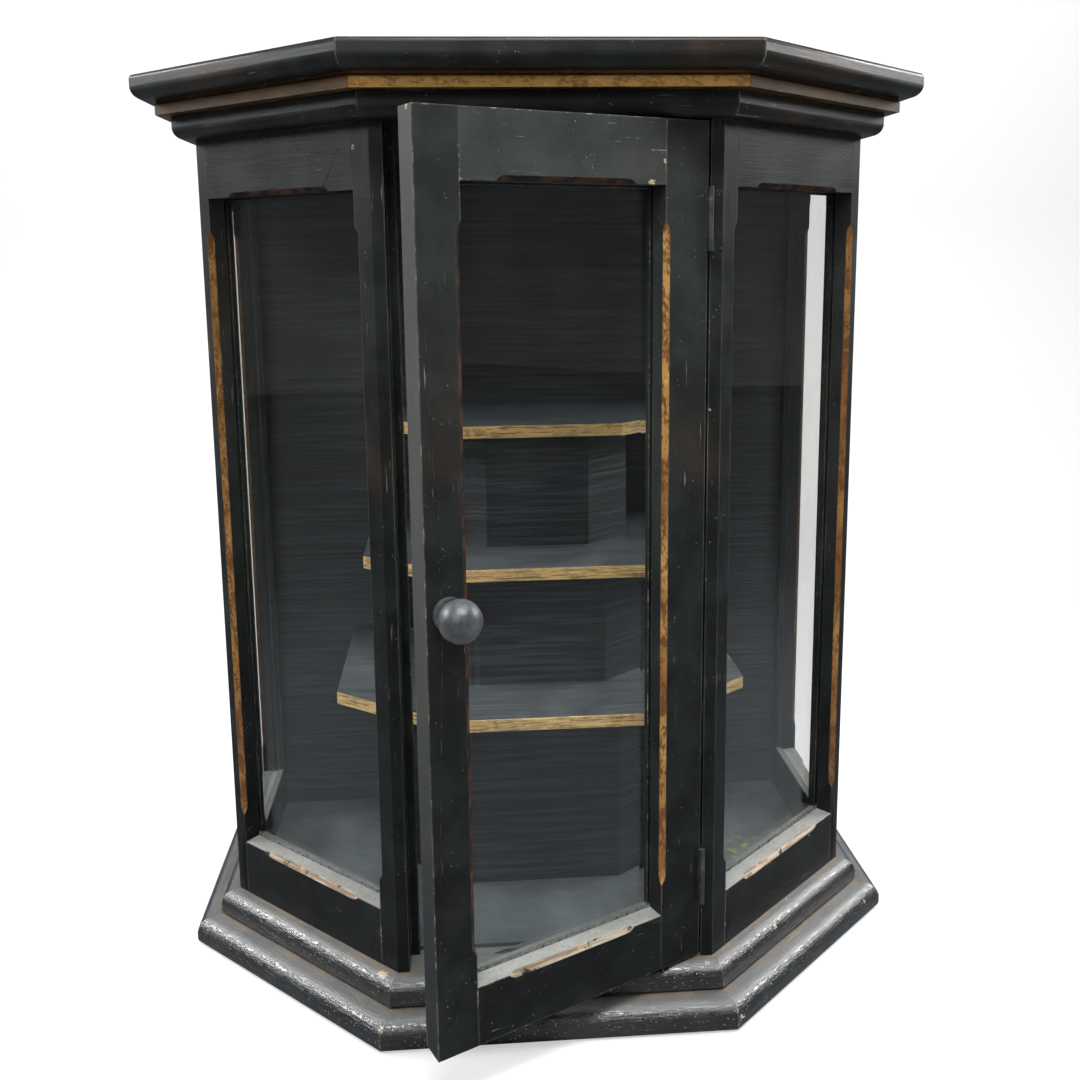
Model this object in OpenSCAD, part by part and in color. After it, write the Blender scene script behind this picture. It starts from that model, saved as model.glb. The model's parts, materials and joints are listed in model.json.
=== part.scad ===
// Canted-front glazed table showcase, ebonised and parcel gilt, with a hinged
// door and a three-tier display stand.  Millimetres, +Z up.  The origin is on
// the resting plane, midway across and midway between the case's front and
// back faces.  The front looks towards -Y and the right-hand side is +X.

/* [Case] */
// Height of the posts, from the base to the cornice
post_h = 716; // [650:1:760]
// Half the width over the two straight side faces
case_half_w = 300; // [290:1:310]
// Half the width of the flat front, out to its two corners
front_half_w = 138; // [134:1:142]
// How far the canted faces run back from the front
cant_depth = 142; // [135:1:150]
// Depth of the case from front face to back face
case_d = 308; // [300:1:320]
// Thickness of posts, rails and door
frame_t = 22; // [21:1:24]
// Height of the rails under each light
rail_bottom_h = 53; // [48:1:58]
// Height of the rails over each light
rail_top_h = 51; // [46:1:56]
// Thickness of the boards in the back
back_t = 8; // [6:1:10]
// Number of boards in the back
back_board_count = 6; // [4:1:8]

/* [Posts] */
// Half the clear width between the two door posts
jamb_x = 127.5; // [125:0.5:129]
// Width of the front posts on the canted faces
front_post_w = 19; // [17:1:22]
// Width of the corner posts on the canted faces
corner_post_w = 13; // [12:1:15]
// Width of the corner posts on the side faces
corner_post_side_w = 20; // [18:1:24]
// Width of the back posts on the side faces
back_post_w = 28; // [26:1:32]
// Width of the stop lip on the left-hand door post
stop_lip_w = 8; // [6:1:9]

/* [Glazing] */
// Depth of the reveal in front of each pane
reveal = 16.5; // [15:0.5:17]
// Thickness of the panes
glass_t = 3; // [3:0.5:4]
// How far the rebate laps the edges of a pane
rebate = 5; // [4:0.5:6]
// Width of the bevel ground round each pane
glass_bevel_w = 16; // [12:1:20]
// Height of the glazing beads
bead_h = 7; // [6:0.5:8]
// How far the glazing beads stand out of the rebate
bead_proud = 3; // [2:0.5:4]
// Width of the stopped chamfers round the lights
chamfer = 5.5; // [4:0.5:6]
// Distance from a corner of a light to where its chamfers stop
chamfer_stop = 28; // [24:1:32]

/* [Door] */
// How far the door stands open from shut, in degrees
door_open = 26.25; // [0:0.25:110]
// Width of the stile that carries the knob
lock_stile_w = 35; // [34:1:38]
// Width of the stile that carries the hinges
hinge_stile_w = 41; // [38:1:44]
// Distance of each hinge's middle from the door's nearer end
hinge_inset = 75; // [65:1:90]
// Length of each hinge
hinge_len = 50; // [50:5:60]
// Radius of the knob's ball
knob_r = 16; // [14:0.5:18]
// How far the knob stands out from the door
knob_out = 36.5; // [34:0.5:42]

/* [Base and cornice] */
// Height of the lower base moulding
base_low_h = 24; // [22:1:28]
// Height of the upper base moulding
base_up_h = 22; // [20:1:24]
// How far the lower base moulding stands out from the case
base_low_out = 39.5; // [36:0.5:42]
// How far the upper base moulding stands out from the case
base_up_out = 17.5; // [15:0.5:20]
// Height of the bed moulding
bed_h = 20; // [18:1:22]
// Height of the gilt band
gilt_h = 12; // [10:1:14]
// Height of the top moulding
top_h = 21; // [20:1:24]
// How far the bed moulding stands out from the case
bed_out = 18; // [16:0.5:20]
// How far the gilt band stands out from the case
gilt_out = 30; // [28:0.5:32]
// How far the top moulding stands out from the case
top_out = 48; // [45:0.5:50]

/* [Display stand] */
// Height of the bottom shelf's upper face above the base
shelf_rise_1 = 205; // [190:1:215]
// Height from one shelf to the next
shelf_step = 125; // [115:1:130]
// Thickness of the shelves
shelf_t = 12; // [10:1:14]
// Thickness of the riser boards
riser_t = 10; // [8:1:12]

/* [Hidden] */
$fn = 48;

// Heights
base_z = base_low_h + base_up_h;
bed_z = base_z + post_h;
gilt_z = bed_z + bed_h;
top_z = gilt_z + gilt_h;
light_z0 = base_z + rail_bottom_h;
light_z1 = bed_z - rail_top_h;
light_h = light_z1 - light_z0;
floor_t = 4;

// Plan of the case
front_y = -case_d / 2;
back_y = case_d / 2;
corner_y = front_y + cant_depth;
cant_angle = atan2(cant_depth, case_half_w - front_half_w);
cant_len = norm([case_half_w - front_half_w, cant_depth]);
side_len = case_d - cant_depth;
cant_light = [front_post_w, cant_len - corner_post_w];
side_light = [corner_post_side_w, side_len - back_post_w];
core_inset = 10;
gilt_in = 6;
top_strip_w = 36;
mitre_gap = 0.15;
post_back_y = front_y + front_post_w * sin(cant_angle) + frame_t * cos(cant_angle);

// Door, drawn shut and then swung open about its hinge pins
door_gap = 0.8;
door_foot_gap = 3;
door_head_gap = 1.5;
door_z0 = base_z + door_foot_gap;
door_z1 = bed_z - door_head_gap;
pin_x = jamb_x - door_gap / 2;
pin_out = 2.8;
pin_y = front_y - pin_out;
door_x1 = jamb_x - door_gap;
closing_gap = 0.5;
door_x0 = pin_x - sqrt(pow(pin_x + jamb_x - closing_gap, 2) - pow(frame_t + pin_out, 2));
door_light_x0 = door_x0 + lock_stile_w;
door_light_x1 = door_x1 - hinge_stile_w;
stop_gap = 0.8;
lip_y = front_y + frame_t + stop_gap;

// Hinges
leaf_t = 1.6;
leaf_w = 16;
leaf_recess = 1.4;
leaf_x0 = jamb_x + leaf_recess - leaf_t;
barrel_r = 2.5;
hinge_pin_r = 1.3;
running_gap = 0.05;
knuckle_count = 5;
knuckle_gap = 0.3;
hinge_zs = [door_z0 + hinge_inset, door_z1 - hinge_inset];
screw_r = 1.4;
screw_head_r = 2.9;
screw_len = 8;
screws_per_leaf = 3;
screw_inset = 9.6;

// Knob and latch
knob_x = door_x0 + lock_stile_w / 2;
knob_z = (door_z0 + door_z1) / 2;
spindle_r = 4;
rose_r = 12.5;
rose_t = 4.5;
neck_r = 9.5;
tongue_t = 3;
tongue_w = 10;
tongue_len = 19;
tongue_clear = 0.6;
tongue_gap = post_back_y + tongue_clear - front_y - frame_t;
knob_gap = 0.3;

// Display stand, with the width of a glued joint as a part of a board's length
joint_part = 0.001;
// Each plan: [half width of front edge, half width overall, front edge behind the case front,
// side corner behind the case front]
shelf_plans = [[92, 195, 53.5, 129], [88, 168, 97, 155], [79, 141, 143, 193]];
riser_plans = [[73, 130, 124, 164], [60, 110, 131, 168], [50, 92, 173.5, 205]];

// Colours
ebony = "#20211f";
gilt = "#a67a3c";
pane = [0.75, 0.85, 0.85, 0.3];
iron = "#3a3a3a";
dusty = "#3b3f40";

// Corner k of the case plan offset outwards by out: 0 front corner, 1 side corner, 2 back corner
function plan_corner(k, out) =
    k == 0 ? [front_half_w + out * tan(cant_angle / 2), front_y - out]
    : k == 1 ? [case_half_w + out, corner_y - out * tan((90 - cant_angle) / 2)]
    : [case_half_w + out, back_y];

// The same corner as a point on the mitre plane there, carried past the back at the back corner
function mitre_point(k, out) = plan_corner(k, out) + [0, k == 2 ? 5 : 0];

// Direction along face k away from the middle of the front, or across the front to the left
function face_way(k) =
    k == 0 ? [-1, 0] : k == 1 ? [cos(cant_angle), sin(cant_angle)] : [0, 1];

// Points s along the canted or the side face from its front end, and d into the case
function cant_point(s, d) = [
    front_half_w + s * cos(cant_angle) - d * sin(cant_angle),
    front_y + s * sin(cant_angle) + d * cos(cant_angle)
];
function side_point(s, d) = [case_half_w - d, corner_y + s];

// Whole plan of the case offset outwards by out, with the back left flush
function plan_outline(out) = concat(
    [for (k = [0:2]) plan_corner(k, out)],
    [for (k = [2:-1:0]) [-plan_corner(k, out)[0], plan_corner(k, out)[1]]]
);

module mirrored(side) {
    if (side < 0) mirror([1, 0, 0]) children();
    else children();
}

// Local frames of the faces: x runs along the face, y runs into the case
module on_cant(side) {
    mirrored(side) translate([front_half_w, front_y, 0]) rotate([0, 0, cant_angle]) children();
}

module on_side(side) {
    mirrored(side) translate([case_half_w, corner_y, 0]) rotate([0, 0, 90]) children();
}

// The same for the face numbered k: 0 front, 1 cant, 2 side
module on_face(k, side) {
    if (k == 0) translate([0, front_y, 0]) children();
    else if (k == 1) on_cant(side) children();
    else on_side(side) children();
}

module in_door() {
    translate([pin_x, pin_y, 0]) rotate([0, 0, door_open])
        translate([-pin_x, -pin_y, 0]) children();
}

// ---------- mouldings ----------

// Section of a moulding: x is the distance out from the case, y is the height
module nosed_section(x0, x1, h, top_r, bottom_r) {
    difference() {
        translate([x0, 0]) square([x1 - x0, h]);
        translate([x1 - top_r, h - top_r]) corner_waste(top_r);
        translate([x1 - bottom_r, bottom_r]) mirror([0, 1]) corner_waste(bottom_r);
    }
}

// What is planed off a square edge to round it at radius r
module corner_waste(r) {
    over = 1;
    difference() {
        square(r + over);
        circle(r);
    }
}

// The section in children() run along face k (0 front, 1 cant, 2 side) and mitred at both ends
module moulding_length(k, side, x0, x1, z) {
    over = 2;
    run = 2 * case_half_w;
    near_in = mitre_point(max(k - 1, 0), x0 - over) + mitre_gap * face_way(k);
    near_out = mitre_point(max(k - 1, 0), x1 + over) + mitre_gap * face_way(k);
    far_in = k == 0 ? [-near_in[0], near_in[1]]
        : mitre_point(k, x0 - over) - mitre_gap * face_way(k);
    far_out = k == 0 ? [-near_out[0], near_out[1]]
        : mitre_point(k, x1 + over) - mitre_gap * face_way(k);
    translate([0, 0, z]) intersection() {
        on_face(k, side) translate([k == 2 ? side_len : run, 0, 0]) rotate([90, 0, -90])
            linear_extrude(2 * run) children();
        mirrored(side) translate([0, 0, -over]) linear_extrude(top_out)
            polygon([near_in, near_out, far_out, far_in]);
    }
}

module base_lower(k, side) {
    nose_top_r = 13;
    nose_bottom_r = 6;
    color(ebony) moulding_length(k, side, 0, base_low_out, 0)
        nosed_section(0, base_low_out, base_low_h, nose_top_r, nose_bottom_r);
}

module base_upper(k, side) {
    nose_top_r = 12;
    nose_bottom_r = 5;
    color(ebony) moulding_length(k, side, -core_inset, base_up_out, base_low_h)
        nosed_section(-core_inset, base_up_out, base_up_h, nose_top_r, nose_bottom_r);
}

module bed_moulding(k, side) {
    nose_bottom_r = 10;
    nose_top_r = 1;
    color(ebony) moulding_length(k, side, -core_inset, bed_out, bed_z)
        nosed_section(-core_inset, bed_out, bed_h, nose_top_r, nose_bottom_r);
}

module gilt_length(k, side) {
    quirk = 1.2;
    quirk_h = 3.5;
    color(gilt) moulding_length(k, side, gilt_in, gilt_out, gilt_z)
        polygon([[gilt_in, 0], [gilt_out, 0], [gilt_out, gilt_h - quirk_h],
            [gilt_out - quirk, gilt_h - quirk_h + quirk], [gilt_out - quirk, gilt_h],
            [gilt_in, gilt_h]]);
}

module top_moulding(k, side) {
    nose_top_r = 4;
    nose_bottom_r = 11;
    color(ebony) moulding_length(k, side, top_out - top_strip_w, top_out, top_z)
        nosed_section(top_out - top_strip_w, top_out, top_h, nose_top_r, nose_bottom_r);
}

module all_lengths() {
    for (k = [0:2]) {
        for (side = k == 0 ? [1] : [-1, 1]) {
            $k = k;
            $side = side;
            children();
        }
    }
}

module base_upper_mouldings() {
    all_lengths() base_upper($k, $side);
}

module bed_mouldings() {
    all_lengths() bed_moulding($k, $side);
}

module gilt_band() {
    all_lengths() gilt_length($k, $side);
}

module base_lower_sides() {
    for (side = [-1, 1]) base_lower(2, side);
}

module top_moulding_sides() {
    for (side = [-1, 1]) top_moulding(2, side);
}

// ---------- boards of the base and the cornice ----------

module plan_board(out, z, h) {
    translate([0, 0, z]) linear_extrude(h) polygon(plan_outline(out));
}

module plinth_board() {
    color(ebony) plan_board(0, 0, base_low_h);
}

module base_board() {
    color(ebony) plan_board(-core_inset, base_low_h, base_up_h);
}

// Floor between the posts and rails, its front edge just behind the door posts
module floor_board() {
    floor_gap = 0.3;
    floor_y = post_back_y + floor_gap;
    color(dusty) translate([0, 0, base_z]) linear_extrude(floor_t)
        intersection() {
            polygon(plan_outline(-frame_t));
            translate([-case_half_w, floor_y])
                square([2 * case_half_w, back_y - back_t - floor_y]);
        }
}

module ceiling_board() {
    color(ebony) plan_board(-core_inset, bed_z, bed_h);
}

module cornice_board() {
    color(ebony) plan_board(gilt_in, gilt_z, gilt_h);
}

module top_board() {
    color(ebony) plan_board(top_out - top_strip_w, top_z, top_h);
}

// ---------- case frame ----------

// What a stopped chamfer takes off the corner of a member: the corner runs up the z axis and
// the member lies in x > 0, y > 0
module chamfer_waste(len) {
    depth = chamfer / 2;
    scoop_r = 14;
    scoop_run = sqrt(pow(scoop_r, 2) - pow(scoop_r - depth, 2));
    rotate([0, 0, 45]) translate([0, -chamfer, 0]) rotate([0, -90, -90])
        linear_extrude(2 * chamfer) {
            translate([scoop_run, depth - 2 * scoop_r]) square([len - 2 * scoop_run, 2 * scoop_r]);
            for (z = [scoop_run, len - scoop_run]) translate([z, depth - scoop_r]) circle(scoop_r);
        }
}

// Chamfer up the edge of a member at x, with the member on the side dir of it
module upright_chamfer(x, dir) {
    translate([x, 0, light_z0 + chamfer_stop]) mirrored(dir)
        chamfer_waste(light_h - 2 * chamfer_stop);
}

// Chamfer along the edge of a rail at height z, with the rail below it (up 1) or above it (up -1)
module level_chamfer(x0, x1, z, up) {
    translate([x0 + chamfer_stop, 0, z]) mirror([0, 0, up > 0 ? 0 : 1]) rotate([0, 90, 0])
        chamfer_waste(x1 - x0 - 2 * chamfer_stop);
}

// Rebate for the pane of a light from x0 to x1
module pane_rebate(x0, x1) {
    translate([x0 - rebate, reveal, light_z0 - rebate])
        cube([x1 - x0 + 2 * rebate, frame_t, light_h + 2 * rebate]);
}

// Rail between two uprights, under its light (up 1) or over it (up -1)
module rail(x0, x1, z, h, up) {
    difference() {
        translate([x0, 0, z]) cube([x1 - x0, frame_t, h]);
        pane_rebate(x0, x1);
        level_chamfer(x0, x1, up > 0 ? z + h : z, up);
    }
}

module cant_rail_bottom(side) {
    color(ebony) on_cant(side) rail(cant_light[0], cant_light[1], base_z, rail_bottom_h, 1);
}

module cant_rail_top(side) {
    color(ebony) on_cant(side) rail(cant_light[0], cant_light[1], light_z1, rail_top_h, -1);
}

module side_rail_bottom(side) {
    color(ebony) on_side(side) rail(side_light[0], side_light[1], base_z, rail_bottom_h, 1);
}

module side_rail_top(side) {
    color(ebony) on_side(side) rail(side_light[0], side_light[1], light_z1, rail_top_h, -1);
}

module post(outline) {
    translate([0, 0, base_z]) linear_extrude(post_h) polygon(outline);
}

module front_post_right() {
    color(ebony) difference() {
        post([[jamb_x, front_y], [front_half_w, front_y], cant_point(front_post_w, 0),
            cant_point(front_post_w, frame_t), [jamb_x, post_back_y]]);
        on_cant(1) {
            pane_rebate(cant_light[0], cant_light[1]);
            upright_chamfer(cant_light[0], -1);
        }
        for (z = hinge_zs) {
            post_leaf_recess(z);
            leaf_screw_holes(z) cylinder(r = screw_r, h = screw_len);
        }
    }
}

module front_post_left() {
    color(ebony) difference() {
        mirrored(-1) post([[jamb_x, front_y], [front_half_w, front_y],
            cant_point(front_post_w, 0), cant_point(front_post_w, frame_t),
            [jamb_x - stop_lip_w, post_back_y], [jamb_x - stop_lip_w, lip_y], [jamb_x, lip_y]]);
        on_cant(-1) {
            pane_rebate(cant_light[0], cant_light[1]);
            upright_chamfer(cant_light[0], -1);
        }
    }
}

module corner_post(side) {
    color(ebony) difference() {
        mirrored(side) post([cant_point(cant_light[1], 0), plan_corner(1, 0),
            side_point(side_light[0], 0), side_point(side_light[0], frame_t),
            plan_corner(1, -frame_t), cant_point(cant_light[1], frame_t)]);
        on_cant(side) {
            pane_rebate(cant_light[0], cant_light[1]);
            upright_chamfer(cant_light[1], 1);
        }
        on_side(side) {
            pane_rebate(side_light[0], side_light[1]);
            upright_chamfer(side_light[0], -1);
        }
    }
}

module back_post(side) {
    color(ebony) difference() {
        mirrored(side) post([side_point(side_light[1], 0), side_point(side_len, 0),
            side_point(side_len, frame_t), side_point(side_light[1], frame_t)]);
        on_side(side) {
            pane_rebate(side_light[0], side_light[1]);
            upright_chamfer(side_light[1], 1);
        }
    }
}

// Shiplapped boards laid level between the back posts, each lapping the one above it inside
module back_boards() {
    joint = 0.5;
    lap_h = 6;
    lap_t = back_t / 2;
    board_h = (post_h - (back_board_count - 1) * joint) / back_board_count;
    half_w = case_half_w - frame_t;
    for (i = [0:back_board_count - 1])
        color(ebony) translate([-half_w, back_y - back_t, base_z + i * (board_h + joint)])
            difference() {
                union() {
                    cube([2 * half_w, back_t, board_h]);
                    if (i < back_board_count - 1)
                        cube([2 * half_w, lap_t - joint, board_h + lap_h]);
                }
                if (i > 0) translate([-1, -1, -1])
                    cube([2 * half_w + 2, lap_t + 1, lap_h + 1]);
            }
}

// ---------- glazing ----------

// Pane for a light from x0 to x1, its outer face ground to a shallow bevel all round
module bevelled_pane(x0, x1) {
    slack = 0.3;
    bevel_t = 1.2;
    w = x1 - x0 + 2 * rebate - 2 * slack;
    h = light_h + 2 * rebate - 2 * slack;
    translate([x0 - rebate + slack, reveal, light_z0 - rebate + slack])
        intersection() {
            linear_extrude(h) polygon([[glass_bevel_w, 0], [w - glass_bevel_w, 0],
                [w, bevel_t], [w, glass_t], [0, glass_t], [0, bevel_t]]);
            translate([w, 0, 0]) rotate([0, -90, 0]) linear_extrude(w)
                polygon([[glass_bevel_w, 0], [h - glass_bevel_w, 0],
                    [h, bevel_t], [h, glass_t], [0, glass_t], [0, bevel_t]]);
        }
}

// Beads that hold the pane of a light from x0 to x1 in its rebate
module beads(x0, x1) {
    bead_d = frame_t - reveal - glass_t + bead_proud;
    x_in = x0 - rebate;
    w = x1 - x0 + 2 * rebate;
    z_in = light_z0 - rebate;
    h = light_h + 2 * rebate;
    translate([x_in, reveal + glass_t, z_in]) {
        for (x = [0, w - bead_h]) translate([x, 0, bead_h]) cube([bead_h, bead_d, h - 2 * bead_h]);
        for (z = [0, h - bead_h]) translate([0, 0, z]) cube([w, bead_d, bead_h]);
    }
}

module cant_glass(side) {
    color(pane) on_cant(side) bevelled_pane(cant_light[0], cant_light[1]);
}

module side_glass(side) {
    color(pane) on_side(side) bevelled_pane(side_light[0], side_light[1]);
}

module cant_beads() {
    for (side = [-1, 1]) color(ebony) on_cant(side) beads(cant_light[0], cant_light[1]);
}

module side_beads() {
    for (side = [-1, 1]) color(ebony) on_side(side) beads(side_light[0], side_light[1]);
}

// ---------- door ----------

module on_door_face() {
    in_door() translate([0, front_y, 0]) children();
}

module door_lock_stile() {
    color(ebony) on_door_face() difference() {
        translate([door_x0, 0, door_z0]) cube([lock_stile_w, frame_t, door_z1 - door_z0]);
        pane_rebate(door_light_x0, door_light_x1);
        upright_chamfer(door_light_x0, -1);
        translate([knob_x, -1, knob_z]) rotate([-90, 0, 0])
            cylinder(r = spindle_r + running_gap, h = frame_t + 2);
    }
}

module door_hinge_stile() {
    color(ebony) difference() {
        on_door_face() difference() {
            translate([door_light_x1, 0, door_z0])
                cube([hinge_stile_w, frame_t, door_z1 - door_z0]);
            pane_rebate(door_light_x0, door_light_x1);
            upright_chamfer(door_light_x1, 1);
        }
        for (z = hinge_zs) in_door() {
            door_leaf_recess(z);
            mirror_hinge() leaf_screw_holes(z) cylinder(r = screw_r, h = screw_len);
        }
    }
}

module door_bottom_rail() {
    color(ebony) on_door_face()
        rail(door_light_x0, door_light_x1, door_z0, light_z0 - door_z0, 1);
}

module door_top_rail() {
    color(ebony) on_door_face()
        rail(door_light_x0, door_light_x1, light_z1, door_z1 - light_z1, -1);
}

module door_glass() {
    color(pane) on_door_face() bevelled_pane(door_light_x0, door_light_x1);
}

module door_beads() {
    color(ebony) on_door_face() beads(door_light_x0, door_light_x1);
}

// Turned knob: a rose against the door, a short neck, a ball and the spindle through the stile
module door_knob() {
    color(iron) on_door_face() translate([knob_x, 0, knob_z]) rotate([90, 0, 0])
        rotate_extrude() union() {
            translate([0, knob_gap]) square([rose_r, rose_t]);
            translate([0, knob_gap]) square([neck_r, knob_out - knob_r]);
            translate([0, -frame_t - tongue_gap]) square([spindle_r, frame_t + tongue_gap + 1]);
            intersection() {
                translate([0, knob_out - knob_r]) circle(knob_r);
                translate([0, knob_out - 2 * knob_r]) square(2 * knob_r);
            }
        }
}

// Latch tongue on the spindle's inner end, hanging down when the door is unlatched
module latch_tongue() {
    color(iron) on_door_face() translate([knob_x, frame_t + tongue_gap, knob_z])
        rotate([-90, 0, 0]) linear_extrude(tongue_t) {
            circle(tongue_w / 2);
            translate([-tongue_w / 2, 0]) square([tongue_w, tongue_len]);
        }
}

// ---------- hinges ----------

// Reflects the post's half of a hinge onto the door's half, in the plane of the pins
module mirror_hinge() {
    translate([pin_x, 0, 0]) mirror([1, 0, 0]) translate([-pin_x, 0, 0]) children();
}

// Bore of the hinge leaf holes along the screws, for the hinge centred at height z
module leaf_screw_holes(z) {
    screw_y = front_y + screw_inset;
    screw_pitch = hinge_len / screws_per_leaf;
    for (i = [0:screws_per_leaf - 1])
        translate([leaf_x0, screw_y, z + (i - (screws_per_leaf - 1) / 2) * screw_pitch])
            rotate([0, 90, 0]) children();
}

module post_leaf_recess(z) {
    translate([leaf_x0, front_y - 1, z - hinge_len / 2])
        cube([leaf_t, leaf_w + 1, hinge_len]);
}

module door_leaf_recess(z) {
    mirror_hinge() post_leaf_recess(z);
}

// One leaf of a hinge centred at height z, with every second knuckle starting at first
module hinge_leaf(z, first) {
    knuckle_h = hinge_len / knuckle_count;
    z0 = z - hinge_len / 2;
    difference() {
        union() {
            translate([leaf_x0, front_y, z0]) cube([leaf_t, leaf_w, hinge_len]);
            for (i = [first:2:knuckle_count - 1]) {
                low = i == 0 ? 0 : knuckle_gap / 2;
                high = i == knuckle_count - 1 ? 0 : knuckle_gap / 2;
                translate([0, 0, z0 + i * knuckle_h + low]) {
                    translate([pin_x, pin_y, 0]) cylinder(r = barrel_r, h = knuckle_h - low - high);
                    translate([leaf_x0, pin_y, 0])
                        cube([leaf_t, pin_out + 1, knuckle_h - low - high]);
                }
            }
        }
        translate([pin_x, pin_y, z0 - 1])
            cylinder(r = hinge_pin_r + running_gap, h = hinge_len + 2);
        leaf_screw_holes(z) cylinder(r1 = screw_head_r, r2 = screw_r, h = leaf_t);
    }
}

module hinge_post_leaf(z) {
    color(iron) hinge_leaf(z, 0);
}

module hinge_door_leaf(z) {
    color(iron) in_door() mirror_hinge() hinge_leaf(z, 1);
}

module hinge_pins() {
    for (z = hinge_zs) color(iron) translate([pin_x, pin_y, z - hinge_len / 2])
        cylinder(r = hinge_pin_r, h = hinge_len);
}

// Countersunk screw along z, its head's flat face at z = 0
module leaf_screw() {
    cylinder(r1 = screw_head_r, r2 = screw_r, h = leaf_t);
    cylinder(r = screw_r, h = screw_len);
}

module hinge_post_screws() {
    for (z = hinge_zs) color(iron) leaf_screw_holes(z) leaf_screw();
}

module hinge_door_screws() {
    for (z = hinge_zs) color(iron) in_door() mirror_hinge() leaf_screw_holes(z) leaf_screw();
}

// ---------- display stand ----------

// Outline of a shelf or a riser from its back left corner round by the front: the sides run
// straight back to the back boards
function stand_outline(plan, inset) = [
    [-plan[1] + inset, back_y - back_t], [-plan[1] + inset, front_y + plan[3] + inset],
    [-plan[0] + inset, front_y + plan[2] + inset], [plan[0] - inset, front_y + plan[2] + inset],
    [plan[1] - inset, front_y + plan[3] + inset], [plan[1] - inset, back_y - back_t]
];

module shelf(i, top) {
    color(dusty) translate([0, 0, top - shelf_t]) linear_extrude(shelf_t)
        polygon(stand_outline(shelf_plans[i], 0));
}

// Riser of five mitred boards, from z0 up to the underside of a shelf whose top is at z1
module riser(i, z0, z1) {
    outer = stand_outline(riser_plans[i], 0);
    inner = stand_outline(riser_plans[i], riser_t);
    for (k = [0:len(outer) - 2])
        color(dusty) translate([0, 0, z0]) linear_extrude(z1 - shelf_t - z0)
            polygon([along(outer, k, joint_part), along(outer, k, 1 - joint_part),
                along(inner, k, 1 - joint_part), along(inner, k, joint_part)]);
}

// Point part of the way from corner k of an outline to the next
function along(outline, k, part) = outline[k] + part * (outline[k + 1] - outline[k]);

shelf_z1 = base_z + shelf_rise_1;
shelf_z2 = shelf_z1 + shelf_step;
shelf_z3 = shelf_z2 + shelf_step;

plinth_board();
base_lower(0, 1);  // base_lower_front
base_lower(1, -1);  // base_lower_cant_left
base_lower(1, 1);  // base_lower_cant_right
base_lower_sides();
base_board();
base_upper_mouldings();
floor_board();
front_post_left();
front_post_right();
corner_post(-1);  // corner_post_left
corner_post(1);  // corner_post_right
back_post(-1);  // back_post_left
back_post(1);  // back_post_right
cant_rail_bottom(-1);  // cant_rail_bottom_left
cant_rail_bottom(1);  // cant_rail_bottom_right
cant_rail_top(-1);  // cant_rail_top_left
cant_rail_top(1);  // cant_rail_top_right
side_rail_bottom(-1);  // side_rail_bottom_left
side_rail_bottom(1);  // side_rail_bottom_right
side_rail_top(-1);  // side_rail_top_left
side_rail_top(1);  // side_rail_top_right
back_boards();
cant_glass(-1);  // cant_glass_left
cant_glass(1);  // cant_glass_right
side_glass(-1);  // side_glass_left
side_glass(1);  // side_glass_right
cant_beads();
side_beads();
ceiling_board();
bed_mouldings();
cornice_board();
gilt_band();
top_board();
top_moulding(0, 1);  // top_moulding_front
top_moulding(1, -1);  // top_moulding_cant_left
top_moulding(1, 1);  // top_moulding_cant_right
top_moulding_sides();
door_lock_stile();
door_hinge_stile();
door_top_rail();
door_bottom_rail();
door_glass();
door_beads();
door_knob();
latch_tongue();
hinge_post_leaf(hinge_zs[1]);  // hinge_post_leaf_top
hinge_post_leaf(hinge_zs[0]);  // hinge_post_leaf_bottom
hinge_door_leaf(hinge_zs[1]);  // hinge_door_leaf_top
hinge_door_leaf(hinge_zs[0]);  // hinge_door_leaf_bottom
hinge_pins();
hinge_post_screws();
hinge_door_screws();
shelf(0, shelf_z1);  // shelf_bottom
shelf(1, shelf_z2);  // shelf_middle
shelf(2, shelf_z3);  // shelf_top
riser(0, base_z + floor_t, shelf_z1);  // riser_lower
riser(1, shelf_z1, shelf_z2);  // riser_middle
riser(2, shelf_z2, shelf_z3);  // riser_upper
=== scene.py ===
"""Looks for the ebonised, parcel-gilt display cabinet: materials, dust and wear, the studio and the
camera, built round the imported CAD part.  Metres, +Z up, the door's side towards -Y."""

import json
import math

import bpy
from mathutils import Matrix, Vector


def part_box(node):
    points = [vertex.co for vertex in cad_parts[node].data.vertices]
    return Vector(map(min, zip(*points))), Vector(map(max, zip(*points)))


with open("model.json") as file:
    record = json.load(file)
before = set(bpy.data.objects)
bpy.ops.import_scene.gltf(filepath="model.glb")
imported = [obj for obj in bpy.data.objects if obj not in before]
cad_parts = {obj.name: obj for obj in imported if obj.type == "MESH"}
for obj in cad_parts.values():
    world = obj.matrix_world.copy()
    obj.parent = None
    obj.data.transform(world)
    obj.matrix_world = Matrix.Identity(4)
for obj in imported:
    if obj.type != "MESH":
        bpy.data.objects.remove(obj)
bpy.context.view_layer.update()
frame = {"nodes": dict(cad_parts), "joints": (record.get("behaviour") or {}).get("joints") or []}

# ---------- the case's plan, as the CAD part draws it ----------

FRONT_HALF_W = 0.138  # half the width of the flat front
FRONT_POST_W = 0.019  # width of the front posts on the canted faces
CORNER_POST_W = 0.013  # width of the corner posts on the canted faces
CORNER_POST_SIDE_W = 0.020  # width of the corner posts on the side faces
CHAMFER_STOP = 0.028  # from a light's corner to where its chamfers stop
CHAMFER_EDGE = (0.0062, 0.0056)  # from a chamfer's lost corner, where its finish starts and fills
CHAMFER_END = 0.0012  # length over which a finish runs out at a chamfer's stop
BACK_BOARDS = 6  # number of boards in the back
BOARD_SHIFT = 1.37  # how far each back board's grain is shifted along x from the one below

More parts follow.
